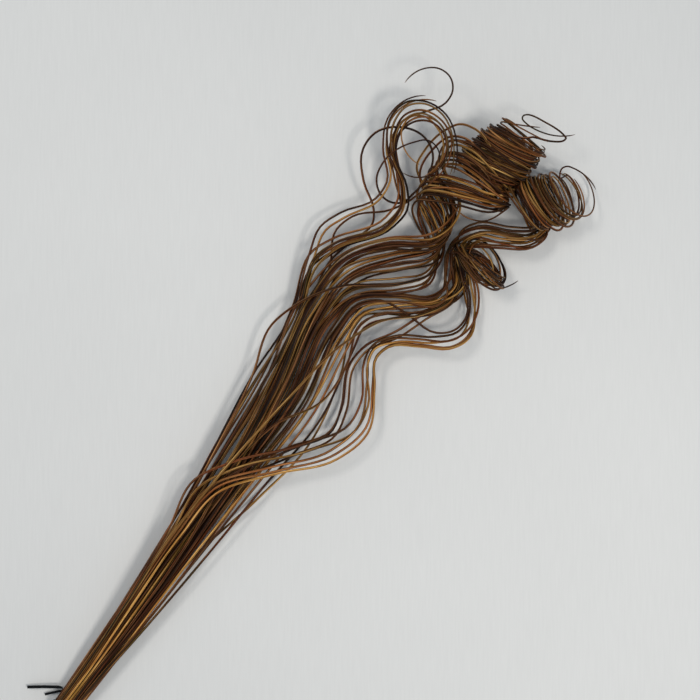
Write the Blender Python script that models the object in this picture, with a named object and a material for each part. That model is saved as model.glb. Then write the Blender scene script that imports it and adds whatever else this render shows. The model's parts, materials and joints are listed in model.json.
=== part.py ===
"""A bunch of dried curly ting ting, laid down: thin woody stems tied near their cut ends, fanned out and
curled at their tips.

Metres. +Y runs along the straight bundle towards the curls, +X is to its right, +Z is up. The surface is
z = 0, and the origin is under the middle of the bunch's box.

Each lock of stems follows one route, whose points were read off the photograph by eye, in its pixels, as
(right, down, height above the surface in millimetres, spread). The spread says how loosely the lock's
stems lie side by side: 1 is stem by stem, and below 1 they lie in two layers. A coil is worked out from
its centres, radii and turns.
"""

import math

import bmesh
import bpy
import numpy as np
from mathutils import Vector

# Sizes of the real bunch
STEM_RADIUS = 0.00155
TIP_RADIUS = 0.0008
TAPER = ((0, STEM_RADIUS), (0.5, 0.97 * STEM_RADIUS), (0.88, 0.87 * STEM_RADIUS), (1, TIP_RADIUS))
STEM_GAP = 0.0003
STEM_PITCH = 2 * STEM_RADIUS + STEM_GAP
CUT_BELOW_TIE = 0.04
STRAIGHT_ABOVE_TIE = 0.012
CUT_UNEVENNESS = 0.004
TIE_WIDTH = 0.0036
TIE_THICKNESS = 0.0012
TIE_RIBBON_THICKNESS = 0.0008

# The tie's two ends: width, how far down the band's lower left side they start, and their points from there
# as (across, along, height) in millimetres and how far the ribbon has turned to lie flat
TIE_RIBBONS = (
    (0.0034, 0.25, ((0, -1.2, 0, 0), (-0.2, 13.5, 0, 0), (-0.9, 16.6, -0.2, 0.2), (-3.2, 17.6, -0.6, 0.5),
                    (-7, 15.3, -1.5, 1), (-22, 3.5, -4, 1), (-37, -9, -6, 1))),
    (0.0028, 0.75, ((0, -1.2, 0, 0), (-0.3, 10, 0, 0), (-1.6, 12.6, 0, 0.2), (-3.9, 13, 0.2, 0.5),
                    (-7.4, 9.6, 0, 1), (-18.4, -4, -1.7, 1))),
)

# The photograph: real size of a pixel on the surface, height of the camera, its middle, and the bundle's
# direction, which runs 4 pixels up for every 3 to the right
PIXEL = 0.0012
CAMERA_HEIGHT = 1.3
PHOTO_MIDDLE = (350, 350)
TIE_IN_PHOTO = (67, 705.3)
ALONG_IN_PHOTO = (0.6, -0.8)
ACROSS_IN_PHOTO = (0.8, 0.6)

MILLIMETRE = 0.001

# How the stems are packed in the tie, and how much stems of one lock differ
SEED = 7
MOST_SLOT_ROWS = 9
BUNDLE_WIDTH_SHARE = 1.08
STEMS_IN_A_COLUMN = 6
STAGGER = 0.0016
WANDER = 0.001
WANDER_WAVE = 0.21
LENGTH_SPREAD = 1.8
COIL_RADIUS_SPREAD = 0.08
COIL_TURN_SPREAD = 0.09

# How the stems are cut into straight pieces, and moved apart until they are clear of each other
LONGEST_PIECE = 0.11
BEND_OF_PIECE = math.radians(40)
CUTS_PAST_TIE = (1.2, 1.55)
SHORTEST_END_ROWS = 0.4
FINE_STEPS = 12
ROWS_PER_TURN = 8
SETTLE_STEPS = 700
PUSH = 1.6
SMOOTHING = 0.25
SMOOTHED_SHARE = 0.5
PAIRS_EVERY = 8
PAIR_REACH = 0.004
PIECES_THAT_MAY_TOUCH = 1
FEWEST_HITS = 0.5
SURFACE_GAP = 0.0001

# Small amounts: lengths and shares that count as none, and how near points are to be welded
TINY = 1e-8
NEARLY_LEVEL = 1e-6
WELD_DISTANCE = 1e-6

STEM_COLOURS = {
    "stem_golden": (0.33, 0.19, 0.085),
    "stem_brown": (0.15, 0.075, 0.035),
    "stem_dark": (0.035, 0.02, 0.013),
}
COLOUR_ORDER = (
    "stem_brown", "stem_dark", "stem_golden", "stem_brown", "stem_dark", "stem_brown", "stem_golden",
)
TIE_COLOUR = (0.012, 0.012, 0.013)
STEM_ROUGHNESS = 0.55
TIE_ROUGHNESS = 0.4


def coil(start, end, radii, turned, tilts, turns, phase, tail=(), gather=1, loose=1):
    """A coil's data: its centres as (right, down, height), its radii in pixels, the directions of its long
    axis, its tilts and its starting phase in degrees, the points of a loose end after it, how far its turns
    gather near its start, where 1 is evenly spaced, and how much its stems differ, where 1 is neat."""
    return {
        "start": start,
        "end": end,
        "radii": radii,
        "turned": turned,
        "tilts": tilts,
        "turns": turns,
        "phase": phase,
        "tail": tail,
        "gather": gather,
        "loose": loose,
    }


# Locks from the left edge of the fan to the right: number of stems, route, coil at the end, and the rows at
# which the lock dives under itself and comes up again
OUTER_LEFT = (
    1,
    [(170, 537, 30, 1), (203, 479, 34, 1), (225, 431, 33, 1), (245, 392, 31, 1), (255, 372, 30, 1),
     (264, 345, 28, 1), (272, 323, 28, 1), (281, 314, 30, 1), (293, 307, 34, 1), (309, 300, 40, 1),
     (328, 290, 46, 1), (350, 284, 50, 1), (378, 283, 52, 1), (405, 281, 50, 1), (424, 276, 44, 1),
     (436, 266, 36, 1), (443, 252, 26, 1), (445, 237, 17, 1), (440, 219, 12, 1), (430, 206, 14, 1),
     (424, 194, 26, 1), (430, 186, 44, 1), (446, 184, 60, 1), (466, 188, 67, 1), (487, 195, 61, 1),
     (501, 200, 48, 1)],
    coil((483, 172, 30), (516, 141, 46), (33, 27), (-38, -34), (18, 18), 2.2, 0),
    (16, 21),
)
LONG_LEFT = (
    2,
    [(166, 540, 24, 1.2), (199, 486, 24, 1.2), (223, 436, 22, 1.1), (244, 397, 20, 1.1),
     (262, 369, 20, 1.1), (278, 347, 20, 1.1), (290, 326, 22, 1.1), (299, 302, 24, 1.2),
     (303, 283, 26, 1), (310, 264, 28, 1), (317, 248, 28, 1), (322, 232, 26, 1), (333, 220, 26, 1),
     (350, 213, 28, 1), (367, 207, 30, 1), (380, 197, 32, 1), (388, 184, 34, 1), (388, 170, 34, 1),
     (385, 155, 36, 1), (384, 141, 38, 1), (386, 128, 42, 1), (392, 116, 46, 1), (400, 107, 50, 1),
     (409, 101, 52, 1), (420, 98, 52, 1), (431, 98, 52, 1), (441, 99, 52, 1)],
    None,
    None,
)
HIGH_LEFT = (
    1,
    [(172, 540, 16, 1), (203, 485, 17, 1), (232, 435, 17, 1), (257, 396, 17, 1), (283, 352, 18, 1),
     (303, 318, 20, 1), (318, 294, 22, 1), (328, 275, 26, 1), (331, 256, 30, 1), (333, 240, 32, 1),
     (339, 226, 32, 1), (352, 216, 32, 1), (372, 211, 32, 1), (393, 208, 32, 1), (405, 203, 34, 1),
     (416, 195, 40, 1), (427, 186, 48, 1), (435, 177, 52, 1), (440, 166, 54, 1), (441, 155, 56, 1),
     (445, 147, 58, 1), (452, 143, 61, 1), (461, 143, 65, 1), (471, 147, 68, 1), (481, 156, 68, 1),
     (491, 167, 64, 1)],
    None,
    None,
)
DARK_LOOP = (
    1,
    [(174, 541, 11, 1), (206, 486, 12, 1), (234, 436, 12, 1), (259, 396, 13, 1), (285, 352, 14, 1),
     (305, 315, 14, 1), (315, 290, 11, 1), (324, 268, 5, 1), (338, 250, 0, 1), (355, 238, 0, 1),
     (368, 230, 5, 1), (374, 221, 14, 1), (374, 207, 24, 1), (367, 189, 30, 1), (362, 172, 32, 1),
     (361, 158, 34, 1), (364, 146, 36, 1), (371, 136, 38, 1), (383, 129, 42, 1), (397, 127, 46, 1),
     (411, 129, 50, 1), (423, 136, 54, 1), (431, 147, 57, 1), (433, 160, 58, 1), (430, 172, 57, 1),
     (424, 182, 53, 1), (417, 190, 46, 1), (408, 197, 36, 1), (398, 203, 28, 1), (386, 200, 28, 1),
     (378, 190, 34, 1), (376, 178, 38, 1), (380, 166, 42, 1), (390, 155, 48, 1), (402, 147, 54, 1),
     (416, 141, 59, 1), (428, 140, 62, 1), (436, 145, 63, 1), (440, 154, 62, 1), (440, 164, 60, 1)],
    None,
    None,
)
INNER_LOOPS = (
    3,
    [(168, 540, 18, 1.1), (202, 487, 19, 1.1), (232, 437, 19, 1), (256, 396, 19, 1.2),
     (281, 356, 20, 1.3), (297, 317, 22, 1.2), (303, 290, 24, 1.1), (312, 265, 28, 0.9), (320, 251, 32, 0.9),
     (336, 243, 36, 0.9), (355, 236, 40, 0.9), (374, 229, 42, 0.9), (390, 220, 42, 0.9),
     (399, 208, 40, 0.9), (402, 195, 38, 0.9), (400, 180, 36, 0.9), (396, 165, 36, 0.9),
     (394, 150, 38, 0.9), (396, 136, 42, 0.9), (401, 125, 48, 0.9), (410, 117, 54, 0.9),
     (421, 114, 60, 0.9), (433, 117, 64, 0.9), (442, 125, 67, 1), (448, 136, 69, 1), (449, 148, 70, 1),
     (446, 159, 69, 1.2), (440, 168, 66, 1.4), (432, 176, 61, 1.6), (424, 182, 57, 1.8)],
    None,
    None,
)
OUTER_LOOPS = (
    2,
    [(169, 540, 22, 1.1), (203, 487, 23, 1.1), (233, 438, 23, 1), (257, 397, 23, 1.2),
     (282, 357, 24, 1.3), (300, 318, 26, 1.2), (306, 291, 28, 1), (315, 266, 31, 1), (324, 253, 35, 1),
     (341, 245, 39, 1), (360, 238, 43, 1), (379, 231, 45, 1), (395, 221, 45, 1), (403, 208, 42, 1),
     (405, 194, 39, 1), (401, 179, 37, 1), (394, 163, 37, 1), (390, 149, 39, 1), (389, 135, 43, 1),
     (392, 122, 49, 1), (398, 112, 55, 1), (406, 105, 59, 1), (415, 102, 61, 1), (425, 103, 63, 1),
     (435, 107, 64, 1), (444, 114, 65, 1), (451, 123, 67, 1), (454, 134, 69, 1), (455, 146, 71, 1),
     (455, 158, 73, 1), (453, 169, 73, 1), (452, 177, 72, 1)],
    None,
    None,
)
HIGHEST_LOOP = (
    1,
    [(167, 540, 14, 1), (198, 484, 15, 1), (222, 431, 16, 1), (244, 393, 17, 1), (275, 352, 18, 1),
     (294, 317, 20, 1), (302, 290, 23, 1), (311, 266, 27, 1), (321, 254, 31, 1), (338, 246, 35, 1),
     (357, 239, 39, 1), (376, 232, 41, 1), (391, 223, 41, 1), (400, 210, 39, 1), (401, 195, 36, 1),
     (397, 180, 34, 1), (392, 163, 34, 1), (391, 148, 37, 1), (394, 134, 42, 1), (399, 123, 47, 1),
     (407, 115, 52, 1), (417, 112, 56, 1), (427, 110, 59, 1), (438, 107, 60, 1), (447, 101, 60, 1),
     (452, 92, 60, 1), (452, 81, 59, 1), (446, 72, 58, 1), (435, 67, 58, 1), (423, 69, 57, 1),
     (413, 75, 56, 1), (406, 83, 55, 1)],
    None,
    None,
)
SPIRAL_TIP = (
    1,
    [(170, 540, 20, 1), (203, 486, 21, 1), (231, 436, 21, 1), (255, 394, 21, 1), (281, 354, 22, 1),
     (299, 317, 24, 1), (308, 291, 27, 1), (317, 267, 30, 1), (326, 255, 33, 1), (343, 247, 37, 1),
     (362, 240, 40, 1), (380, 233, 42, 1), (396, 223, 42, 1), (405, 210, 40, 1), (407, 196, 38, 1),
     (403, 181, 36, 1), (398, 166, 37, 1), (396, 151, 40, 1), (398, 138, 45, 1), (404, 126, 51, 1),
     (413, 120, 56, 1), (423, 118, 60, 1), (433, 122, 62, 1), (441, 131, 63, 1), (445, 143, 62, 1),
     (444, 155, 60, 1), (439, 166, 57, 1), (431, 174, 54, 1), (421, 177, 51, 1), (411, 176, 48, 1),
     (403, 173, 46, 1)],
    None,
    None,
)
UPPER_MAIN_POINTS = [
    (178, 540, 22, 1.3), (218, 484, 23, 1.3), (248, 439, 24, 1.3), (270, 396, 25, 1.4), (290, 355, 26, 1.5),
    (305, 320, 27, 1.5), (318, 291, 30, 1.2), (336, 268, 36, 0.8), (356, 253, 42, 0.65),
    (378, 247, 46, 0.6), (402, 246, 48, 0.6), (424, 245, 46, 0.6), (441, 239, 40, 0.65), (451, 226, 30, 0.8),
    (452, 209, 19, 1),
    (448, 193, 11, 1.1), (440, 182, 11, 1.1), (436, 172, 20, 1.1), (439, 161, 34, 1.1), (449, 155, 50, 1.4),
    (463, 156, 64, 1.7), (478, 164, 70, 1.6), (492, 176, 65, 1.4), (503, 187, 53, 1.1), (510, 192, 40, 1),
]
UPPER_MAIN = (
    6,
    UPPER_MAIN_POINTS,
    coil((488, 168, 32), (525, 136, 50), (29, 25), (-35, -32), (16, 18), 3.0, 0, (), 1, 1.4),
    (13, 18),
)
LOOSE_LOOP = (
    1,
    UPPER_MAIN_POINTS,
    coil((488, 168, 32), (521, 138, 50), (29, 25), (-35, -32), (16, 16), 2.75, 0, [
        (533, 138, 68), (546, 141, 64), (560, 142, 57), (567, 138, 50), (558, 130, 46), (545, 122, 45),
        (531, 116, 47), (523, 115, 52), (521, 119, 57), (527, 125, 61), (540, 132, 62), (553, 136, 60),
        (566, 137, 57), (575, 135, 55),
    ]),
    (13, 18),
)
LOOSE_TIP = (
    1,
    UPPER_MAIN_POINTS,
    coil((488, 168, 32), (521, 139, 48), (29, 25), (-35, -33), (16, 16), 2.5, 0, [
        (504, 124, 60), (518, 126, 64), (531, 127, 64), (541, 127, 62),
    ]),
    (13, 18),
)
FAR_ARC = (
    1,
    [(181, 540, 20, 1), (222, 486, 21, 1), (252, 441, 21, 1), (275, 398, 22, 1), (295, 357, 23, 1),
     (309, 322, 26, 1), (323, 294, 31, 1), (341, 273, 38, 1), (361, 260, 44, 1), (386, 253, 48, 1),
     (411, 250, 47, 1), (432, 245, 41, 1), (445, 235, 31, 1), (448, 221, 20, 1), (442, 205, 12, 1),
     (431, 193, 12, 1), (422, 184, 20, 1), (418, 176, 28, 1), (417, 167, 34, 1), (421, 158, 40, 1),
     (428, 150, 45, 1), (435, 143, 50, 1), (442, 136, 54, 1), (449, 131, 58, 1), (456, 128, 61, 1),
     (464, 129, 63, 1), (472, 133, 65, 1), (480, 142, 67, 1), (491, 156, 66, 1), (503, 172, 58, 1),
     (511, 184, 44, 1)],
    coil((488, 168, 32), (510, 149, 42), (27, 26), (-36, -34), (16, 16), 1.6, 0),
    None,
)
NEAR_ARC = (
    1,
    [(183, 540, 18, 1), (224, 486, 19, 1), (254, 441, 19, 1), (277, 398, 20, 1), (297, 358, 21, 1),
     (310, 322, 25, 1), (325, 297, 30, 1), (343, 278, 37, 1), (364, 266, 43, 1), (389, 261, 46, 1),
     (413, 257, 44, 1), (432, 250, 38, 1), (443, 239, 28, 1), (445, 225, 17, 1), (439, 209, 10, 1),
     (430, 197, 11, 1), (424, 187, 20, 1), (421, 178, 30, 1), (421, 168, 37, 1), (426, 157, 43, 1),
     (434, 148, 48, 1), (442, 141, 53, 1), (450, 137, 57, 1), (458, 136, 61, 1), (466, 138, 64, 1),
     (475, 145, 67, 1), (486, 157, 66, 1), (498, 171, 60, 1), (507, 182, 48, 1), (511, 188, 38, 1)],
    coil((487, 170, 30), (512, 147, 42), (27, 26), (-36, -34), (16, 16), 1.8, 0),
    None,
)
MIDDLE_MAIN = (
    4,
    [(184, 540, 17, 1.3), (224, 485, 18, 1.3), (254, 440, 18, 1.5), (278, 397, 20, 1.6),
     (297, 357, 21, 1.7), (311, 322, 24, 1.6), (326, 296, 30, 1.3), (344, 276, 38, 0.9),
     (365, 263, 44, 0.75), (390, 257, 46, 0.7), (415, 254, 43, 0.7), (434, 248, 36, 0.7),
     (444, 235, 26, 0.9), (445, 221, 16, 1.2), (440, 206, 9, 1.3), (432, 194, 11, 1.2), (427, 186, 24, 1),
     (432, 180, 42, 0.8), (446, 180, 58, 0.8), (465, 185, 68, 0.8), (484, 192, 64, 0.8),
     (499, 197, 52, 0.8), (508, 197, 38, 0.8)],
    coil((485, 172, 28), (518, 142, 44), (28, 27), (-37, -33), (16, 17), 2.6, 0, (), 1, 1.5),
    (12, 16),
)
MIDDLE_EDGE = (
    3,
    [(187, 540, 14, 1.3), (227, 486, 15, 1.4), (258, 441, 16, 1.5), (282, 398, 17, 1.7),
     (301, 358, 19, 1.8), (316, 324, 23, 1.6), (333, 298, 29, 1.2), (352, 280, 36, 0.85),
     (374, 270, 41, 0.7), (399, 267, 43, 0.7), (421, 265, 40, 0.7), (436, 257, 33, 0.8),
     (443, 244, 23, 0.9), (440, 228, 14, 1.1), (433, 213, 9, 1.3), (427, 201, 11, 1.2),
     (424, 191, 24, 0.9), (430, 184, 42, 0.8), (444, 185, 57, 0.8), (463, 190, 66, 0.8),
     (482, 196, 62, 0.8), (497, 200, 51, 0.8), (506, 200, 38, 0.8)],
    coil((484, 174, 27), (514, 146, 42), (27, 26), (-38, -33), (16, 18), 2.3, 0, (), 1, 1.8),
    (12, 16),
)
LOWER_MAIN = (
    4,
    [(190, 541, 12, 1.3), (229, 486, 13, 1.5), (260, 442, 13, 1.7), (285, 399, 14, 1.9),
     (305, 361, 16, 2), (321, 329, 20, 1.8), (337, 305, 28, 1.3), (356, 291, 36, 0.9),
     (378, 287, 40, 0.8), (402, 285, 41, 0.8), (421, 281, 38, 0.8), (433, 272, 31, 0.8),
     (438, 258, 22, 0.9), (436, 242, 14, 1), (431, 225, 8, 1.2), (426, 210, 11, 1.2),
     (422, 198, 24, 0.9), (427, 189, 42, 0.8), (441, 188, 57, 0.8), (460, 192, 64, 0.8),
     (480, 198, 60, 0.8), (495, 202, 49, 0.8), (503, 203, 38, 0.8)],
    coil((482, 178, 26), (508, 151, 38), (29, 28), (-40, -35), (16, 17), 2.1, 0, (), 1, 1.6),
    (12, 16),
)
LOW_ARC = (
    1,
    [(188, 541, 13, 1), (228, 487, 14, 1), (259, 442, 15, 1), (284, 400, 16, 1), (303, 362, 18, 1),
     (318, 331, 22, 1), (333, 308, 29, 1), (351, 296, 35, 1), (372, 293, 38, 1), (396, 290, 38, 1),
     (413, 288, 35, 1), (427, 281, 29, 1), (435, 268, 21, 1), (436, 252, 13, 1), (428, 236, 8, 1),
     (419, 220, 9, 1), (414, 205, 20, 1), (418, 194, 38, 1), (432, 193, 56, 1), (454, 196, 64, 1),
     (477, 201, 62, 1), (496, 204, 54, 1), (508, 201, 44, 1), (508, 204, 35, 1), (500, 211, 30, 1),
     (490, 218, 28, 1), (480, 221, 28, 1), (471, 219, 29, 1), (463, 213, 30, 1), (456, 206, 32, 1),
     (449, 199, 35, 1)],
    None,
    None,
)
RETURN_TIP = (
    1,
    [(189, 541, 15, 1), (229, 487, 16, 1), (260, 443, 17, 1), (286, 400, 17, 1), (304, 360, 19, 1),
     (318, 327, 24, 1), (335, 303, 30, 1), (354, 286, 37, 1), (377, 280, 42, 1), (401, 277, 43, 1),
     (421, 274, 39, 1), (434, 265, 31, 1), (440, 250, 22, 1), (437, 234, 14, 1), (428, 217, 9, 1),
     (422, 204, 14, 1), (420, 194, 26, 1), (423, 186, 38, 1), (430, 179, 47, 1), (438, 171, 53, 1),
     (444, 161, 57, 1), (446, 149, 59, 1), (444, 137, 60, 1), (438, 127, 60, 1), (429, 119, 59, 1),
     (419, 116, 57, 1), (410, 118, 55, 1), (404, 125, 52, 1), (402, 135, 49, 1), (404, 147, 46, 1),
     (410, 157, 44, 1), (419, 165, 42, 1)],
    None,
    None,
)
UPPER_RIGHT_POINTS = [
    (194, 544, 19, 1.3), (232, 488, 20, 1.7), (264, 444, 20, 2), (292, 403, 20, 2.1), (314, 364, 21, 2.1),
    (328, 332, 23, 1.8), (342, 310, 27, 1.4), (361, 299, 32, 1.1), (385, 297, 35, 0.95), (410, 299, 35, 0.9),
    (426, 301, 32, 0.95), (440, 298, 26, 1), (448, 286, 18, 1.1), (450, 270, 12, 1.1), (452, 254, 14, 1),
    (459, 241, 26, 0.8), (471, 231, 38, 0.7), (488, 228, 44, 0.7), (507, 231, 44, 0.7),
    (525, 234, 38, 0.7), (536, 232, 30, 0.8),
]
UPPER_RIGHT = (
    4,
    UPPER_RIGHT_POINTS,
    coil((522, 207, 29), (534, 202, 33), (29, 25), (-64, -60), (18, 22), 1.4, 0, (), 1, 1.5),
    (12, 15),
)
RIGHT_TIP = (
    1,
    UPPER_RIGHT_POINTS,
    coil((523, 206, 29), (572, 194, 34), (29, 21), (-64, -60), (18, 36), 2.4, 0, [
        (560, 178, 40), (563, 169, 46), (570, 167, 50), (579, 173, 52), (588, 181, 50), (596, 189, 46),
    ], 1.5),
    (12, 15),
)
LOWER_RIGHT = (
    3,
    [(198, 547, 11, 1.3), (237, 492, 12, 1.7), (270, 449, 12, 2), (299, 409, 13, 2.2),
     (322, 371, 14, 2.2), (337, 340, 17, 1.9), (350, 318, 22, 1.6), (368, 307, 27, 1.3),
     (392, 305, 30, 1.1), (416, 306, 30, 0.9), (436, 304, 26, 0.8), (449, 297, 20, 0.8), (458, 284, 13, 0.8),
     (458, 270, 9, 0.8), (458, 254, 14, 0.8), (463, 243, 26, 0.8), (476, 236, 36, 0.8),
     (493, 237, 40, 0.8), (511, 240, 38, 0.8), (527, 240, 32, 0.8), (537, 235, 26, 0.8)],
    coil((527, 207, 27), (579, 191, 32), (30, 21), (-62, -55), (20, 42), 2.6, 0, (), 1, 1.6),
    (12, 15),
)
RIGHT_EDGE = (
    4,
    [(203, 548, 19, 1.3), (243, 495, 20, 1.7), (277, 455, 20, 2), (307, 417, 20, 2.2),
     (330, 380, 21, 2.1), (344, 348, 22, 1.9), (354, 324, 24, 1.6), (372, 312, 26, 1.3),
     (396, 308, 28, 1.1), (418, 309, 27, 0.9), (437, 306, 23, 0.8), (451, 299, 17, 0.8), (460, 287, 12, 0.8),
     (462, 274, 9, 0.8), (461, 257, 14, 0.8), (466, 246, 26, 0.8), (479, 240, 34, 0.8),
     (496, 241, 36, 0.7), (513, 242, 34, 0.7), (529, 241, 28, 0.7), (539, 235, 24, 0.8)],
    coil((530, 207, 25), (562, 199, 30), (28, 22), (-60, -68), (20, 32), 1.6, 0, (), 0.6, 1.6),
    (12, 15),
)
OUTER_RIGHT_POINTS = [
    (180, 530, 34, 1.1), (208, 492, 36, 1.3), (235, 478, 38, 1.5), (262, 472, 38, 1.5), (290, 467, 36, 1.5),
    (318, 461, 32, 1.5), (341, 449, 28, 1.4), (359, 434, 24, 1.3), (367, 414, 20, 1.2), (369, 390, 18, 1.1),
    (369, 367, 20, 1), (373, 353, 26, 1), (386, 343, 32, 1), (405, 341, 36, 1), (425, 343, 38, 1),
    (444, 345, 36, 1), (458, 340, 28, 1), (468, 330, 18, 1), (472, 315, 9, 1), (471, 299, 4, 1),
    (469, 281, 7, 1.2), (462, 264, 14, 1.3),
]
OUTER_RIGHT = (
    2,
    OUTER_RIGHT_POINTS,
    coil((480, 265, 26), (486, 269, 32), (27, 22), (-47, -43), (14, 18), 1.8, 190, (), 1, 2.5),
    (18, 21),
)
LOWER_TIP = (
    1,
    OUTER_RIGHT_POINTS,
    coil((480, 265, 26), (483, 268, 28), (28, 23), (-47, -47), (24, 24), 1.45, 190, [
        (504, 287, 20), (512, 285, 24), (518, 281, 30),
    ]),
    (18, 21),
)
WIDE_RIGHT = (
    2,
    [(172, 530, 38, 1.1), (195, 487, 40, 1.4), (215, 471, 41, 1.8), (245, 464, 41, 1.8),
     (275, 456, 39, 1.7), (305, 449, 35, 1.6), (330, 441, 30, 1.5), (350, 431, 24, 1.3),
     (362, 416, 20, 1.2), (366, 397, 17, 1.1), (367, 377, 18, 1.1), (368, 358, 24, 1.1),
     (376, 347, 30, 1), (392, 341, 34, 1), (412, 341, 36, 1), (432, 342, 36, 1), (449, 340, 30, 1),
     (462, 331, 20, 1), (468, 317, 11, 1), (467, 300, 6, 1.2), (463, 283, 9, 1.3), (459, 268, 15, 1.3)],
    coil((479, 261, 27), (484, 262, 36), (25, 24), (-50, -58), (38, 44), 1.6, 190, (), 1, 2),
    (18, 21),
)
SLIM_RIGHT = (
    3,
    [(186, 528, 31, 1.1), (216, 488, 33, 1.3), (243, 470, 34, 1.5), (268, 459, 33, 1.5),
     (295, 449, 31, 1.4), (320, 440, 27, 1.3), (336, 428, 22, 1.1), (342, 410, 18, 0.9),
     (346, 390, 16, 0.9), (349, 370, 17, 0.9), (356, 354, 22, 0.9), (368, 344, 28, 0.9),
     (385, 338, 32, 0.9), (400, 330, 33, 0.9), (413, 323, 31, 0.8), (424, 314, 27, 0.8), (436, 307, 21, 0.8),
     (450, 300, 13, 0.9), (461, 288, 7, 1.2), (464, 276, 9, 1.3), (461, 262, 16, 1.3)],
    coil((477, 262, 28), (486, 266, 38), (24, 17), (-42, -38), (18, 26), 1.4, 190, (), 1, 3),
    (17, 20),
)
GOLDEN_CROSSING = (
    1,
    [(172, 533, 40, 1), (205, 488, 42, 1), (240, 452, 42, 1), (268, 422, 42, 1), (290, 394, 42, 1),
     (312, 370, 42, 1), (337, 348, 42, 1), (360, 328, 42, 1), (376, 320, 42, 1), (394, 317, 40, 1),
     (412, 315, 36, 1), (427, 309, 30, 1), (441, 304, 23, 1), (453, 296, 16, 1), (460, 285, 12, 1),
     (459, 268, 11, 1), (459, 252, 20, 1), (467, 240, 38, 1), (481, 233, 50, 1), (500, 235, 54, 1),
     (519, 239, 49, 1), (533, 238, 40, 1)],
    coil((527, 207, 30), (572, 194, 36), (30, 25), (-60, -52), (20, 40), 2.3, 0),
    (14, 17),
)
TOP_CROSSING = (
    1,
    [(188, 543, 29, 1), (222, 488, 32, 1), (245, 453, 34, 1), (264, 431, 36, 1), (284, 419, 37, 1),
     (304, 411, 36, 1), (322, 402, 34, 1), (336, 389, 30, 1), (346, 372, 26, 1), (353, 352, 24, 1),
     (359, 332, 25, 1), (370, 317, 28, 1), (390, 310, 31, 1), (412, 311, 30, 1), (432, 309, 26, 1),
     (447, 302, 19, 1), (458, 289, 12, 1), (461, 275, 10, 1), (459, 260, 17, 1)],
    coil((482, 261, 30), (485, 262, 36), (25, 23), (-52, -58), (42, 44), 1.4, 190),
    (16, 18),
)
THIN_SWAY = (
    1,
    [(200, 547, 13, 1), (240, 491, 14, 1), (273, 447, 15, 1), (302, 407, 16, 1), (325, 368, 17, 1),
     (340, 336, 20, 1), (354, 313, 24, 1), (372, 303, 28, 1), (390, 304, 31, 1), (403, 310, 32, 1),
     (413, 319, 32, 1), (426, 328, 31, 1), (441, 333, 28, 1), (455, 330, 23, 1), (465, 320, 17, 1),
     (468, 305, 12, 1), (465, 290, 11, 1), (461, 276, 15, 1)],
    coil((477, 264, 27), (482, 266, 32), (22, 18), (-48, -40), (30, 26), 1.5, 195),
    (15, 17),
)
LOWEST_RIGHT = (
    1,
    [(206, 546, 12, 1), (228, 527, 12, 1), (253, 504, 12, 1), (281, 477, 12, 1), (303, 452, 13, 1),
     (318, 428, 14, 1), (331, 400, 15, 1), (343, 372, 17, 1), (351, 345, 19, 1), (357, 325, 22, 1),
     (368, 314, 24, 1), (386, 316, 24, 1), (405, 315, 22, 1), (420, 313, 18, 1), (434, 308, 14, 1),
     (446, 301, 10, 1)],
    None,
    None,
)
LOCKS = (
    OUTER_LEFT, LONG_LEFT, HIGH_LEFT, DARK_LOOP, INNER_LOOPS, OUTER_LOOPS, HIGHEST_LOOP, SPIRAL_TIP,
    UPPER_MAIN, LOOSE_LOOP, LOOSE_TIP, FAR_ARC, NEAR_ARC, MIDDLE_MAIN, MIDDLE_EDGE, LOWER_MAIN,
    LOW_ARC, RETURN_TIP, UPPER_RIGHT, RIGHT_TIP, LOWER_RIGHT, RIGHT_EDGE, OUTER_RIGHT, LOWER_TIP,
    WIDE_RIGHT, SLIM_RIGHT, GOLDEN_CROSSING, TOP_CROSSING, THIN_SWAY, LOWEST_RIGHT,
)


def clear_scene():
    for obj in list(bpy.data.objects):
        bpy.data.objects.remove(obj, do_unlink=True)


def place(right, down, height):
    """The point at this height that the photograph shows at this pixel, measured from the tie, in metres."""
    nearer = 1 - height / CAMERA_HEIGHT
    x = PHOTO_MIDDLE[0] + (right - PHOTO_MIDDLE[0]) * nearer - TIE_IN_PHOTO[0]
    y = PHOTO_MIDDLE[1] + (down - PHOTO_MIDDLE[1]) * nearer - TIE_IN_PHOTO[1]
    across = (x * ACROSS_IN_PHOTO[0] + y * ACROSS_IN_PHOTO[1]) * PIXEL
    along = (x * ALONG_IN_PHOTO[0] + y * ALONG_IN_PHOTO[1]) * PIXEL
    return np.array((across, along, height))


def stem_slots(count):
    """The middles of this many stems packed side by side in the tie, lowest row flat, as (across, height)."""
    row_height = STEM_PITCH * math.sqrt(3) / 2
    slots = []
    for row in range(-MOST_SLOT_ROWS, MOST_SLOT_ROWS + 1):
        for column in range(-MOST_SLOT_ROWS, MOST_SLOT_ROWS + 1):
            slots.append((STEM_PITCH * (column + 0.5 * (row % 2)), row_height * row))
    slots.sort(key=lambda s: (round(math.hypot(s[0] / BUNDLE_WIDTH_SHARE, s[1]), 6), s[1], s[0]))
    chosen = np.array(slots[:count])
    lowest = chosen[:, 1].min()
    chosen[:, 1] += TIE_THICKNESS + STEM_GAP + STEM_RADIUS - lowest
    return chosen


def between(ends, part):
    """The value this part of the way from the first to the second."""
    return ends[0] * (1 - part) + ends[1] * part


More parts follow.
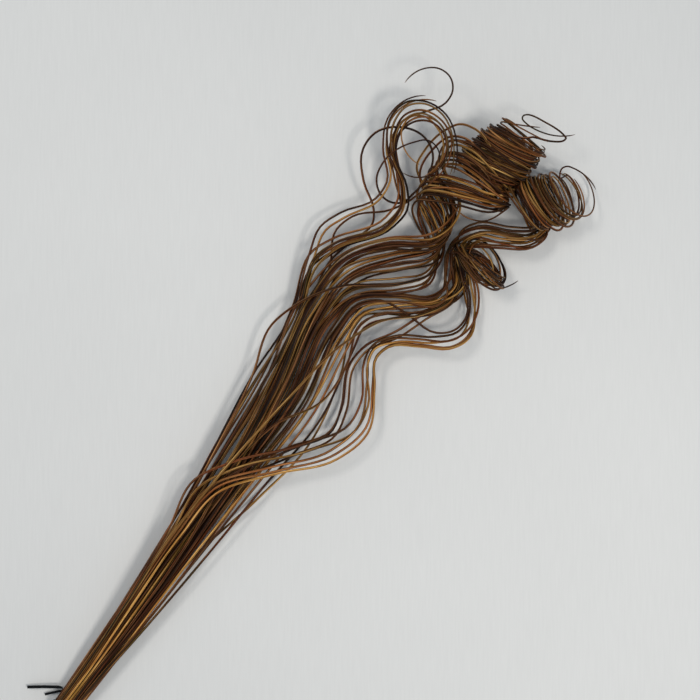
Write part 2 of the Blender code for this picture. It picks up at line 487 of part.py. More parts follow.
def coil_rows(shape, vary):
    """A coil's rows: points in metres and the unit side vector in which its stems lie next to each other."""
    differs = 0 if shape["tail"] else shape["loose"]
    more_radius = COIL_RADIUS_SPREAD * vary[1] * differs
    turns = shape["turns"] * (1 + COIL_TURN_SPREAD * vary[0] * differs)
    steps = round(ROWS_PER_TURN * shape["turns"])
    photo_turn = math.atan2(ALONG_IN_PHOTO[0], -ALONG_IN_PHOTO[1])
    first, last = (place(x, y, h * MILLIMETRE) for x, y, h in (shape["start"], shape["end"]))
    axis = last - first
    side = -np.array((axis[0], axis[1], 0)) / math.hypot(axis[0], axis[1])
    points = []
    for step in range(1, steps + 1):
        part = step / steps
        long_way = math.radians(between(shape["turned"], part)) + photo_turn
        lean = math.radians(between(shape["tilts"], part))
        radius = between(shape["radii"], part) * PIXEL
        radius *= 1 + more_radius * min(1, 2 * part)
        phase = math.radians(shape["phase"]) - 2 * math.pi * turns * part
        flat = np.array((math.cos(long_way), math.sin(long_way), 0))
        steep = np.array(
            (math.sin(long_way) * math.sin(lean), -math.cos(long_way) * math.sin(lean), math.cos(lean))
        )
        middle = first + axis * part ** shape["gather"]
        points.append(middle + radius * (math.cos(phase) * flat + math.sin(phase) * steep))
    points += [place(x, y, h * MILLIMETRE) for x, y, h in shape["tail"]]
    return np.array(points), side


def smooth_through(rows, at):
    """Values of the smooth curve through the rows, at these row numbers."""
    rows = np.asarray(rows, float)
    step = np.linalg.norm(np.diff(rows[:, :3], axis=0), axis=1)[:, None] + TINY
    slope = np.diff(rows, axis=0) / step
    tangent = np.empty_like(rows)
    tangent[1:-1] = (slope[1:] * step[:-1] + slope[:-1] * step[1:]) / (step[1:] + step[:-1])
    tangent[0] = slope[0]
    tangent[-1] = slope[-1]
    i = np.minimum(at.astype(int), len(rows) - 2)
    t = (at - i)[:, None]
    h = step[i]
    return (
        rows[i] * (2 * t**3 - 3 * t**2 + 1)
        + rows[i + 1] * (3 * t**2 - 2 * t**3)
        + tangent[i] * h * (t**3 - 2 * t**2 + t)
        + tangent[i + 1] * h * (t**3 - t**2)
    )


def lock_sides(rows, under):
    """Unit side vectors along a route: to the right of its way, turned round where the lock runs under."""
    way = np.gradient(rows[:, :2], axis=0)
    angle = np.unwrap(np.arctan2(way[:, 1], way[:, 0])) - math.pi / 2
    turned = np.zeros(len(rows))
    if under:
        index = np.arange(len(rows))
        turned = np.clip((index - under[0] + 1) / 2, 0, 1) * np.clip((under[1] - index + 1) / 2, 0, 1)
    angle = angle - math.pi * turned
    return np.stack([np.cos(angle), np.sin(angle), np.zeros(len(rows))], axis=1)


def lock_routes(lock, chance):
    """The routes of a lock's stems, as lists of rows past the tie."""
    count, points, shape, under = lock
    middle = np.array([place(x, y, h * MILLIMETRE) for x, y, h, _ in points])
    spread = np.array([w for _, _, _, w in points])
    sides = lock_sides(middle, under)
    routes = []
    for stem in range(count):
        offset = (stem - (count - 1) / 2) * STEM_PITCH
        vary = chance.uniform(-1, 1, 4)
        rows = middle + offset * spread[:, None] * sides
        if count > 2:
            rows[:, 2] += STAGGER if stem % 2 else -STAGGER
        if shape:
            turns, side = coil_rows(shape, vary)
            rows = np.vstack([rows, turns + offset * shape["loose"] * side])
        routes.append((rows, vary))
    return routes


def wander(route, chance):
    """Small slow sideways swings of a stem, none at the tie."""
    length = np.concatenate([[0], np.cumsum(np.linalg.norm(np.diff(route, axis=0), axis=1))])
    swing = np.zeros_like(route)
    for axis in range(3):
        for wave in (1, 2):
            turn = chance.uniform(0, 2 * math.pi)
            swing[:, axis] += np.sin(2 * math.pi * wave * length / WANDER_WAVE + turn) / wave
    swing[:, 2] /= 2
    past_tie = length - CUT_BELOW_TIE - STRAIGHT_ABOVE_TIE - CUT_UNEVENNESS
    return WANDER * swing * np.clip(past_tie / WANDER_WAVE, 0, 1)[:, None]


def cuts_for(routes):
    """Row numbers at which all stems of a lock are cut into straight pieces: close where the lock bends."""
    rows = np.mean(routes, axis=0)
    at = np.linspace(1, len(rows) - 1, (len(rows) - 2) * FINE_STEPS + 1)
    fine = smooth_through(rows, at)
    run = np.linalg.norm(np.diff(fine, axis=0), axis=1)
    way = np.diff(fine, axis=0) / run[:, None]
    bend = np.arccos(np.clip((way[1:] * way[:-1]).sum(axis=1), -1, 1))
    bend = np.concatenate([[bend[0]], bend])
    cost = np.concatenate([[0], np.cumsum(np.hypot(run / LONGEST_PIECE, bend / BEND_OF_PIECE))])
    start = np.interp(CUTS_PAST_TIE[-1], at, cost)
    pieces = math.ceil(cost[-1] - start)
    cuts = np.interp(np.linspace(start, cost[-1], pieces + 1), cost, at)
    return np.concatenate([[1], CUTS_PAST_TIE[:-1], cuts])


def match_slots(starts, slots):
    """Slot number of each stem, so that stems cross as little as they can between the tie and the fan."""
    by_side = sorted(range(len(starts)), key=lambda i: starts[i][0])
    slot_side = sorted(range(len(slots)), key=lambda i: (slots[i][0], slots[i][1]))
    chosen = [0] * len(starts)
    for first in range(0, len(starts), STEMS_IN_A_COLUMN):
        last = first + STEMS_IN_A_COLUMN
        stems = sorted(by_side[first:last], key=lambda i: starts[i][2])
        places = sorted(slot_side[first:last], key=lambda i: slots[i][1])
        for stem, slot in zip(stems, places):
            chosen[stem] = slot
    return chosen


def stem_lines():
    """The middle line of every stem, as straight pieces that don't yet keep clear of each other."""
    chance = np.random.default_rng(SEED)
    locks = [lock_routes(lock, chance) for lock in LOCKS]
    starts = [rows[0] for routes in locks for rows, _ in routes]
    slots = stem_slots(len(starts))
    chosen = match_slots(starts, slots)
    lines = []
    for routes in locks:
        full = []
        for rows, vary in routes:
            x, z = slots[chosen[len(lines) + len(full)]]
            ends = [(x, -CUT_BELOW_TIE + CUT_UNEVENNESS * vary[2], z), (x, STRAIGHT_ABOVE_TIE, z)]
            full.append(np.vstack([ends, rows]))
        cuts = cuts_for(full)
        for rows, (_, vary) in zip(full, routes):
            rows = rows + wander(rows, chance)
            last = cuts[-1] - (len(full) > 1) * LENGTH_SPREAD * (1 + vary[3]) / 2
            keep = cuts[cuts < last - SHORTEST_END_ROWS]
            line = smooth_through(rows, np.append(keep, last))
            line = np.vstack([rows[:1], line])
            lines.append(line)
    return lines


def stem_radii(line):
    """Radius at each point: even along most of the stem, then tapering to the tip."""
    length = np.concatenate([[0], np.cumsum(np.linalg.norm(np.diff(line, axis=0), axis=1))])
    parts, radii = zip(*TAPER)
    return np.interp(length / length[-1], parts, radii)


def nearest(a, b, c, d):
    """Where the straight pieces a-b and c-d come nearest: the two fractions along them."""
    u, v, w = b - a, d - c, a - c
    uu, vv = (u * u).sum(1) + TINY**2, (v * v).sum(1) + TINY**2
    uv, uw, vw = (u * v).sum(1), (u * w).sum(1), (v * w).sum(1)
    spare = uu * vv - uv * uv
    level = spare < NEARLY_LEVEL * uu * vv
    s = np.where(level, 0.5, (uv * vw - uw * vv) / np.where(level, 1, spare))
    s = np.clip(s, 0, 1)
    t = np.clip((uv * s + vw) / vv, 0, 1)
    s = np.clip((uv * t - uw) / uu, 0, 1)
    return s, t


def settle(lines):
    """Moves the stems apart until none cuts another or the surface, and each bends smoothly."""
    points = np.vstack(lines)
    radii = np.concatenate([stem_radii(line) for line in lines])
    stem = np.concatenate([np.full(len(line), i) for i, line in enumerate(lines)])
    order = np.concatenate([np.arange(len(line)) for line in lines])
    first = np.flatnonzero(stem[:-1] == stem[1:])
    held = order < 2
    inner = np.flatnonzero((order > 1) & (np.append(stem[1:], -1) == stem))
    target = points.copy()
    pairs = None
    smoothing = 1
    for step in range(SETTLE_STEPS):
        if step % PAIRS_EVERY == 0:
            middle = (points[first] + points[first + 1]) / 2
            reach = np.linalg.norm(points[first + 1] - points[first], axis=1) / 2 + PAIR_REACH
            close = np.linalg.norm(middle[:, None] - middle[None], axis=2) < reach[:, None] + reach[None]
            i, j = np.nonzero(np.triu(close, 1))
            i, j = first[i], first[j]
            apart = (stem[i] != stem[j]) | (np.abs(order[i] - order[j]) > PIECES_THAT_MAY_TOUCH)
            pairs = i[apart], j[apart]
        i, j = pairs
        s, t = nearest(points[i], points[i + 1], points[j], points[j + 1])
        here = points[i] * (1 - s)[:, None] + points[i + 1] * s[:, None]
        there = points[j] * (1 - t)[:, None] + points[j + 1] * t[:, None]
        away = here - there
        gap = np.linalg.norm(away, axis=1)
        need = radii[i] * (1 - s) + radii[i + 1] * s + radii[j] * (1 - t) + radii[j + 1] * t + STEM_GAP
        touch = gap < need
        if smoothing == 0 and (gap > need - 0.5 * STEM_GAP).all():
            break
        i, j, s, t, away, gap, need = (v[touch] for v in (i, j, s, t, away, gap, need))
        push = away / (gap[:, None] + TINY) * (need - gap)[:, None] / 2
        move = np.zeros_like(points)
        hits = np.zeros(len(points))
        for index, share, way in ((i, 1 - s, 1), (i + 1, s, 1), (j, 1 - t, -1), (j + 1, t, -1)):
            np.add.at(move, index, push * share[:, None] * way)
            np.add.at(hits, index, share)
        points += PUSH * move / np.maximum(hits, FEWEST_HITS)[:, None] * (~held)[:, None]
        smoothing = SMOOTHING * max(0, 1 - step / (SMOOTHED_SHARE * SETTLE_STEPS))
        if smoothing > 0:
            moved = points - target
            points[inner] += smoothing * ((moved[inner - 1] + moved[inner + 1]) / 2 - moved[inner])
        points[:, 2] = np.maximum(points[:, 2], radii + SURFACE_GAP)
    return np.split(points, np.flatnonzero(np.diff(stem)) + 1)


def make_material(name, colour, roughness):
    material = bpy.data.materials.new(name)
    material.use_nodes = True
    shader = material.node_tree.nodes["Principled BSDF"]
    shader.inputs["Base Color"].default_value = (*colour, 1)
    shader.inputs["Roughness"].default_value = roughness
    shader.inputs["Metallic"].default_value = 0
    return material


def make_stem(name, line, material, collection):
    """A slim square-sided tube along the stem's middle line."""
    curve = bpy.data.curves.new(name, "CURVE")
    curve.dimensions = "3D"
    curve.bevel_depth = STEM_RADIUS
    curve.bevel_resolution = 0
    curve.use_fill_caps = True
    spline = curve.splines.new("POLY")
    spline.points.add(len(line) - 1)
    for point, place_, radius in zip(spline.points, line, stem_radii(line)):
        point.co = (*place_, 1)
        point.radius = radius / STEM_RADIUS
    curve.materials.append(material)
    obj = bpy.data.objects.new(name, curve)
    collection.objects.link(obj)
    return obj


def outline_round(slots, distance, corner_steps=3):
    """The outline that goes round the packed stems this far from their middles, as (across, height)."""
    points = sorted(map(tuple, slots))
    hull = []
    for sweep in (points, points[::-1]):
        start = len(hull)
        for p in sweep:
            while len(hull) - start > 1 and (
                (hull[-1][0] - hull[-2][0]) * (p[1] - hull[-2][1])
                - (hull[-1][1] - hull[-2][1]) * (p[0] - hull[-2][0])
            ) <= TINY**2:
                hull.pop()
            hull.append(p)
        hull.pop()
    outline = []
    for k, (x, z) in enumerate(hull):
        before, after = hull[k - 1], hull[(k + 1) % len(hull)]
        start = math.atan2(z - before[1], x - before[0]) - math.pi / 2
        end = math.atan2(after[1] - z, after[0] - x) - math.pi / 2
        turn = (end - start) % (2 * math.pi)
        for step in range(corner_steps + 1):
            angle = start + turn * step / corner_steps
            outline.append((x + distance * math.cos(angle), z + distance * math.sin(angle)))
    return outline


def make_tie(slots, material, collection):
    """A flat tie: a band round the bundle, with its two ends sticking out as flat ribbons."""
    curve = bpy.data.curves.new("tie", "CURVE")
    curve.dimensions = "2D"
    curve.fill_mode = "BOTH"
    curve.extrude = TIE_WIDTH / 2
    inner = STEM_RADIUS + STEM_GAP
    for distance in (inner + TIE_THICKNESS, inner):
        outline = outline_round(slots, distance)
        spline = curve.splines.new("POLY")
        spline.points.add(len(outline) - 1)
        for point, (x, z) in zip(spline.points, outline):
            point.co = (x, z, 0, 1)
        spline.use_cyclic_u = True
    band = bpy.data.objects.new("band", curve)
    band.rotation_euler = (math.pi / 2, 0, 0)
    collection.objects.link(band)
    pieces = [band]
    for width, share, way in TIE_RIBBONS:
        root, side = tie_root(slots, share, inner + TIE_THICKNESS / 2)
        pieces.append(make_ribbon(root, side, width, way, collection))
    return join_pieces("tie", pieces, material, collection)


def tie_root(slots, share, distance):
    """A point inside the band's wall this far down its lower left side, and that side's direction."""
    top = slots[slots[:, 0].argmin()]
    low = slots[:, 1].min()
    bottom = np.array((slots[slots[:, 1] < low + TINY, 0].min(), low))
    side = (bottom - top) / np.linalg.norm(bottom - top)
    root = top + share * (bottom - top) + distance * np.array((side[1], -side[0]))
    return np.array((root[0], 0, root[1])), np.array((side[0], 0, side[1]))


def make_ribbon(root, side, width, way, collection):
    """One end of the tie: a flat ribbon that runs along the bundle, folds outwards and turns to lie flat."""
    line = np.array([root + np.array(point[:3]) * MILLIMETRE for point in way])
    ways = np.gradient(line, axis=0)
    form = bmesh.new()
    rings = []
    for middle, forward, (*_, flat) in zip(line, ways, way):
        level = np.cross((0, 0, 1), forward)
        level /= np.linalg.norm(level)
        across = side * (1 - flat) + level * flat
        across -= forward * (across @ forward) / (forward @ forward)
        across /= np.linalg.norm(across)
        thick = np.cross(forward, across) / np.linalg.norm(forward)
        ring = []
        for wide, high in ((-1, -1), (1, -1), (1, 1), (-1, 1)):
            corner = middle + wide * width / 2 * across + high * TIE_RIBBON_THICKNESS / 2 * thick
            ring.append(form.verts.new(corner))
        rings.append(ring)
    for ring, following in zip(rings, rings[1:]):
        for k in range(len(ring)):
            form.faces.new((ring[k - 1], ring[k], following[k], following[k - 1]))
    form.faces.new(rings[0])
    form.faces.new(rings[-1][::-1])
    bmesh.ops.recalc_face_normals(form, faces=form.faces)
    mesh = bpy.data.meshes.new("ribbon")
    form.to_mesh(mesh)
    form.free()
    obj = bpy.data.objects.new("ribbon", mesh)
    collection.objects.link(obj)
    return obj


def join_pieces(name, pieces, material, collection):
    """One mesh object made of these pieces by a Boolean union."""
    bpy.context.view_layer.update()
    graph = bpy.context.evaluated_depsgraph_get()
    meshes = []
    for piece in pieces:
        mesh = bpy.data.meshes.new_from_object(piece.evaluated_get(graph))
        weld_caps(mesh)
        made = bpy.data.objects.new(name if not meshes else name + "_piece", mesh)
        made.matrix_world = piece.matrix_world
        collection.objects.link(made)
        meshes.append(made)
    for piece in pieces:
        bpy.data.objects.remove(piece, do_unlink=True)
    whole = meshes[0]
    for other in meshes[1:]:
        union = whole.modifiers.new("union", "BOOLEAN")
        union.operation = "UNION"
        union.object = other
    bpy.context.view_layer.update()
    graph = bpy.context.evaluated_depsgraph_get()
    mesh = bpy.data.meshes.new_from_object(whole.evaluated_get(graph))
    whole.modifiers.clear()
    whole.data = mesh
    for other in meshes[1:]:
        bpy.data.objects.remove(other, do_unlink=True)
    mesh.materials.clear()
    mesh.materials.append(material)
    return whole


def weld_caps(mesh):
    """Joins the loose end caps of a mesh made from a curve to its sides."""
    form = bmesh.new()
    form.from_mesh(mesh)
    bmesh.ops.remove_doubles(form, verts=form.verts, dist=WELD_DISTANCE)
    bmesh.ops.recalc_face_normals(form, faces=form.faces)
    form.to_mesh(mesh)
    form.free()


def centre_on_origin(objects):
    """Moves everything so that the origin is under the middle of the bunch's box."""
    bpy.context.view_layer.update()
    corners = np.array([obj.matrix_world @ Vector(c) for obj in objects for c in obj.bound_box])
    low, high = corners.min(axis=0), corners.max(axis=0)
    for obj in objects:
        obj.location.x -= (low[0] + high[0]) / 2
        obj.location.y -= (low[1] + high[1]) / 2


def main():
    clear_scene()
    collection = bpy.data.collections.new("curly_ting_ting")
    bpy.context.scene.collection.children.link(collection)
    materials = {name: make_material(name, colour, STEM_ROUGHNESS) for name, colour in STEM_COLOURS.items()}
    lines = settle(stem_lines())
    slots = stem_slots(len(lines))
    objects = []
    for number, line in enumerate(lines):
        colour = materials[COLOUR_ORDER[number % len(COLOUR_ORDER)]]
        objects.append(make_stem(f"stem_{number + 1:02d}", line, colour, collection))
    objects.append(make_tie(slots, make_material("tie_black", TIE_COLOUR, TIE_ROUGHNESS), collection))
    centre_on_origin(objects)


main()
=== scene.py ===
"""Looks for a bunch of dried curly stems, tied near its cut ends, on a pale floor and seen from above."""

import json
import math
import random
from typing import NamedTuple

import bpy
import numpy as np
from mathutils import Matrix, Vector, noise

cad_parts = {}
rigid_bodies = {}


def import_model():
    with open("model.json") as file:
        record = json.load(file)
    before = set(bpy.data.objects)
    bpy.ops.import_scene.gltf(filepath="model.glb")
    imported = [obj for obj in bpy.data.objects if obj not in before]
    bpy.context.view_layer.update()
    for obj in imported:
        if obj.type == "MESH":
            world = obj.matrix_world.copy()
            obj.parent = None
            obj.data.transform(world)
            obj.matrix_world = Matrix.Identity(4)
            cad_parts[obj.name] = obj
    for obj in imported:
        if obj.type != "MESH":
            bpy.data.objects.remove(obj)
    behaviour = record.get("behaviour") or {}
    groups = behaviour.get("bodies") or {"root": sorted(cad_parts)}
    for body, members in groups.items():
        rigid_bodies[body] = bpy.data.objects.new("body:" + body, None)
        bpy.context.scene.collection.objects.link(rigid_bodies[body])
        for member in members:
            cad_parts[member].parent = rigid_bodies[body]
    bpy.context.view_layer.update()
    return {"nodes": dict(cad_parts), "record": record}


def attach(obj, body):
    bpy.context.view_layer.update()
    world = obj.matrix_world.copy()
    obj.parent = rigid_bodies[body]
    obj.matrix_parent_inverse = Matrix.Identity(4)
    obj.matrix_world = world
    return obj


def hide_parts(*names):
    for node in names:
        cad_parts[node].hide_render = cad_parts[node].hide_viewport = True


for startup_object in list(bpy.data.objects):
    bpy.data.objects.remove(startup_object)
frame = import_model()


class Grain(NamedTuple):
    """Noise: its scale, its detail, the share of its scale that it has along a rib, and its roughness."""

    scale: float
    detail: float
    along: float = 1.0
    roughness: float = 0.5


class Light(NamedTuple):
    """A square light that leans to the photograph's right and bottom, so far for each metre of its height."""

    lean: tuple
    height: float
    side: float
    power: float


# Lengths are in metres.
MILLIMETRE = 0.001
UP = (0.0, 0.0, 1.0)
SEED = 11
TONE_SEED = 31 * SEED

# The plain stems are four-sided tubes, and corners less than a micrometre apart are one corner.
PLAIN_SIDES = 4
WELD_DECIMALS = 6

# The finer stems are flattened ribs with a shallow groove along one side, which winds round the stem once
# in the twist's length at most. Depths are shares of the radius. Each stem's unevenness is its own row of
# noise, so far from the next stem's.
SIDES = 12
LONGEST_STEP = 9 * MILLIMETRE
SHORTEST_STEP = 1.2 * MILLIMETRE
TURN_OF_A_STEP = math.radians(7)
GROOVE_DEPTH = 0.2
GROOVE_HALF_WIDTH = 0.55
FLATNESS = 0.07
UNEVENNESS = 0.05
UNEVEN_LENGTH = 35 * MILLIMETRE
UNEVEN_ROW = 7.3
POINT_LENGTH = 12 * MILLIMETRE
POINT_RADIUS = 0.25 * MILLIMETRE
CUT_BEVEL = 0.25 * MILLIMETRE
TWIST_LENGTH = 0.5

# A rib's skin is laid out for textures in strips side by side, with a narrow edge between them, and its two
# ends as small rounds in a last strip. Heights are shares of the square that it all fills.
ROUND_LENGTH = 9.7 * MILLIMETRE
STRIP_EDGE = 0.05
CAP_RADIUS = 0.3
CUT_CAP_HEIGHT = 0.25
TIP_CAP_HEIGHT = 0.75

# A few narrow strips of skin have come loose and stand off their stems, one where the photograph shows it.
# Their places are shares of a stem's points, their lifts are shares of their own length, and their angles go
# round the stem from its right side, downward.
PEEL_IN_PHOTO = (130, 588)
PEEL_REACH = 4 * MILLIMETRE
PEELS = 34
PEEL_STEPS = 6
PEEL_LENGTHS = (5 * MILLIMETRE, 13 * MILLIMETRE)
PEEL_WIDTHS = (0.5 * MILLIMETRE, 1.0 * MILLIMETRE)
PEEL_TIP_SHARE = 0.25
PEEL_THICKNESS = 0.14 * MILLIMETRE
PEEL_LIFTS = (0.1, 0.45)
PEEL_PLACES = (0.12, 0.62)
PEEL_ANGLES = (math.radians(200), math.radians(340))
SHOWN_PEEL_ANGLE = math.radians(225)
PEEL_SECTION = ((-1, -1), (1, -1), (1, 1), (-1, 1))

# The photograph is square, and looks straight down at the floor.
PHOTO_SIDE = 700
PHOTO_MIDDLE = (PHOTO_SIDE / 2, PHOTO_SIDE / 2)
PIXEL = 1.2 * MILLIMETRE
CAMERA_HEIGHT = 1.3
SENSOR = 36.0
TIE_IN_PHOTO = (67, 705.3)
ALONG_IN_PHOTO = (0.6, -0.8)
ACROSS_IN_PHOTO = (0.8, 0.6)
PHOTO_TURN = math.atan2(ALONG_IN_PHOTO[0], ACROSS_IN_PHOTO[0])

# Light, with the room's own as a wide soft fill
KEY = Light(lean=(0.42, 0.26), height=2.0, side=0.42, power=18)
FILL = Light(lean=(-0.5, -0.3), height=2.0, side=0.5, power=12)
LIGHT_TINT = (1.0, 0.965, 0.92)
ROOM_TINT = (0.80, 0.89, 1.0, 1.0)
ROOM_STRENGTH = 0.44

SCREEN_WHITE = 255
SCREEN_GAMMA = 2.2


def linear(red, green, blue):
    """A colour given as it shows on a screen, 0 to 255, as the light it stands for."""
    return tuple((value / SCREEN_WHITE) ** SCREEN_GAMMA for value in (red, green, blue)) + (1.0,)


# The tones of each kind of stem: in its furrows, on its sides and on its ridges. The fibres' noise goes
# through them at these places, and each stem has its own part of the noise, within this reach.
STEM_TONES = {
    "stem_golden": (linear(30, 17, 5), linear(128, 88, 38), linear(232, 188, 118)),
    "stem_brown": (linear(20, 10, 4), linear(94, 56, 27), linear(204, 148, 92)),
    "stem_dark": (linear(10, 5, 2), linear(50, 28, 14), linear(156, 106, 66)),
}
TONE_PLACES = (0.30, 0.5, 0.72)
OWN_NOISE_REACH = 3.0
FIBRES = Grain(scale=1500, detail=4, along=0.012, roughness=0.62)
FIBRE_DEPTH = 0.14 * MILLIMETRE
FIBRE_BUMP = 0.8
FIBRE_ROUGHNESSES = (0.62, 0.34)
STEM_GLOSS = 0.14

# Patches and specks on the skin: the noise, the part of it that shows, and the most that it colours
PATCHES = Grain(scale=260, detail=2, along=0.05)
REDDISH = linear(116, 56, 24)
RED_PATCHES = (0.45, 0.7)
MOST_RED = 0.4
OLIVE = linear(86, 74, 28)
OLIVE_PATCHES = (0.48, 0.3)
OLIVE_STEMS = (0.55, 1.0)
MOST_OLIVE = 0.6
SPECKS = Grain(scale=1900, detail=1, along=0.25)
SPECK_PEAKS = (0.66, 0.76)
MOST_SPECKED = 0.7

# Each stem is darker on one side and brighter on the other: a painted shade and a painted highlight, partly
# the rib's own darker groove and lighter ridge. It is also darker toward its tip, and has a shade of its own.
PAINTED_LIGHT_SIDES = Grain(scale=430, detail=1, along=0.006)
SIDE_NOISE = (0.36, 0.64)
PAINTED_SHADE_TO_HIGHLIGHT = (0.06, 2.1)
STEM_SHADES = (0.78, 1.15)
AGED_PART = (0.3, 1.0)
AGE_SHADES = (1.0, 0.72)
CUT_TONE = linear(198, 170, 122)

TIE_TONES = (linear(3, 3, 4), linear(12, 12, 13))
TIE_GRAIN = Grain(scale=2200, detail=3)
TIE_GRAIN_DEPTH = 0.08 * MILLIMETRE
TIE_BUMP = 0.4
TIE_ROUGHNESSES = (0.35, 0.6)
TIE_GLOSS = 0.2

FLOOR_SIDE = 12.0
FLOOR_DROP = 0.2 * MILLIMETRE
FLOOR_TONE = linear(226, 225, 221)
FLOOR_ROUGHNESS = 0.62
FLOOR_CLOUDS = Grain(scale=3, detail=3)
CLOUD_SHADES = (0.96, 1.03)
FLOOR_STREAKS = Grain(scale=420, detail=2)
STREAK_STRETCH = 16.0
STREAK_SHADES = (0.965, 1.035)

# Where a mix takes its two colours, and where it gives the mixed one
MIX_FIRST = 6
MIX_SECOND = 7
MIX_RESULT = 2


def ring_centres(mesh):
    """The middle and the radius of each ring of a plain four-sided stem, from its cut end to its tip."""
    corners = np.array([vertex.co for vertex in mesh.vertices])
    points, index = np.unique(np.round(corners, WELD_DECIMALS), axis=0, return_inverse=True)
    index = index.reshape(-1)
    neighbours = {place: set() for place in range(len(points))}
    for polygon in mesh.polygons:
        around = [int(index[vertex]) for vertex in polygon.vertices]
        for here, there in zip(around, around[1:] + around[:1]):
            neighbours[here].add(there)
            neighbours[there].add(here)
    ring = set(np.argsort(points[:, 1])[:PLAIN_SIDES].tolist())
    seen = set()
    centres = []
    radii = []
    while ring:
        places = points[sorted(ring)]
        centre = places.mean(axis=0)
        centres.append(centre)
        radii.append(np.linalg.norm(places - centre, axis=1).min())
        seen |= ring
        ring = set().union(*(neighbours[place] for place in ring)) - seen
    return np.array(centres), np.array(radii)


def directions_of(points):
    """The direction of the route at each point, that of the circle through it and its two neighbours."""
    chords = np.diff(points, axis=0)
    lengths = np.linalg.norm(chords, axis=1)
    steps = chords / lengths[:, None]
    inner = steps[:-1] * lengths[1:, None] + steps[1:] * lengths[:-1, None]
    inner /= np.linalg.norm(inner, axis=1)[:, None]
    first = 2 * steps[0] * (steps[0] @ inner[0]) - inner[0]
    last = 2 * steps[-1] * (steps[-1] @ inner[-1]) - inner[-1]
    return np.vstack([[first], inner, [last]])


def smooth_route(centres, radii):
    """Points close together on a smooth curve through the centres, with the stem's radius at each."""
    directions = directions_of(centres)
    points = [centres[0]]
    widths = [radii[0]]
    for piece in range(len(centres) - 1):
        start, end = centres[piece], centres[piece + 1]
        length = np.linalg.norm(end - start)
        turn = math.acos(float(np.clip(directions[piece] @ directions[piece + 1], -1, 1)))
        steps = max(1, math.ceil(length / LONGEST_STEP), math.ceil(turn / TURN_OF_A_STEP))
        steps = min(steps, max(1, round(length / SHORTEST_STEP)))
        for step in range(1, steps + 1):
            t = step / steps
            point = start * (2 * t**3 - 3 * t**2 + 1) + end * (3 * t**2 - 2 * t**3)
            point += directions[piece] * length * (t**3 - 2 * t**2 + t)
            point += directions[piece + 1] * length * (t**3 - t**2)
            points.append(point)
            widths.append(radii[piece] * (1 - t) + radii[piece + 1] * t)
    return np.array(points), np.array(widths)


def carried_frames(points):
    """Two directions square to the route at each point, carried along it without twisting."""
    directions = directions_of(points)
    side = np.cross(directions[0], UP)
    sides = []
    for direction in directions:
        side = side - direction * (side @ direction)
        side /= np.linalg.norm(side)
        sides.append(side)
    sides = np.array(sides)
    return sides, np.cross(directions, sides)


def section_of(turned):
    """The rib's section: the angle of each of its sides, and how far it reaches, as a share of its radius."""
    angles = np.arange(SIDES) * math.tau / SIDES
    oval = 1 - FLATNESS * (1 - np.cos(2 * angles)) / 2
    from_groove = (angles + math.pi) % math.tau - math.pi
    groove = GROOVE_DEPTH * np.exp(-((from_groove / GROOVE_HALF_WIDTH) ** 2))
    return angles + turned, oval - groove


def add_ends(points, widths):
    """Bevels the edge of the cut end and draws the tip out to a point, without making the stem any longer.

    Gives the points and the radii with those ends, and each point's distance along the stem.
    """
    along = np.concatenate([[0], np.cumsum(np.linalg.norm(np.diff(points, axis=0), axis=1))])
    to_tip = along[-1] - along
    fade = np.clip(to_tip / POINT_LENGTH, 0, 1)
    widths = np.minimum(widths, POINT_RADIUS + (widths - POINT_RADIUS) * np.sqrt(fade))
    bevel = points[0] + (points[1] - points[0]) * CUT_BEVEL / np.linalg.norm(points[1] - points[0])
    points = np.vstack([points[:1], [bevel], points[1:]])
    widths = np.concatenate([[widths[0] - CUT_BEVEL], widths[:1], widths[1:]])
    along = np.concatenate([[0, CUT_BEVEL], along[1:]])
    return points, widths, along


def stem_rings(points, widths, along, number):
    """The corners of every ring of a stem, and where each would be if the stem were pulled straight."""
    draw = random.Random(SEED + number)
    sides, others = carried_frames(points)
    start = draw.uniform(0, math.tau)
    drift = draw.uniform(-1, 1) * math.tau / TWIST_LENGTH
    rings = []
    straight = []
    for place, point in enumerate(points):
        angles, shape = section_of(start + drift * along[place])
        wave = noise.noise(Vector((along[place] / UNEVEN_LENGTH, number * UNEVEN_ROW, 0.0)))
        reach = widths[place] * shape * (1 + UNEVENNESS * wave)
        across = np.cos(angles)[:, None] * sides[place] + np.sin(angles)[:, None] * others[place]
        rings.append(point + across * reach[:, None])
        heights = np.full(SIDES, along[place])
        straight.append(np.column_stack([np.cos(angles) * reach, np.sin(angles) * reach, heights]))
    return np.array(rings), np.array(straight)


def rib_faces(count):
    """The faces of a rib of so many rings: its skin, and a fan over each end from a corner in its middle."""
    faces = []
    for ring in range(count - 1):
        low, high = ring * SIDES, (ring + 1) * SIDES
        for side in range(SIDES):
            after = (side + 1) % SIDES
            faces.append((low + side, low + after, high + after, high + side))
    cut_middle, tip_middle = count * SIDES, count * SIDES + 1
    last = (count - 1) * SIDES
    for side in range(SIDES):
        after = (side + 1) % SIDES
        faces.append((cut_middle, after, side))
        faces.append((tip_middle, last + side, last + after))
    return faces


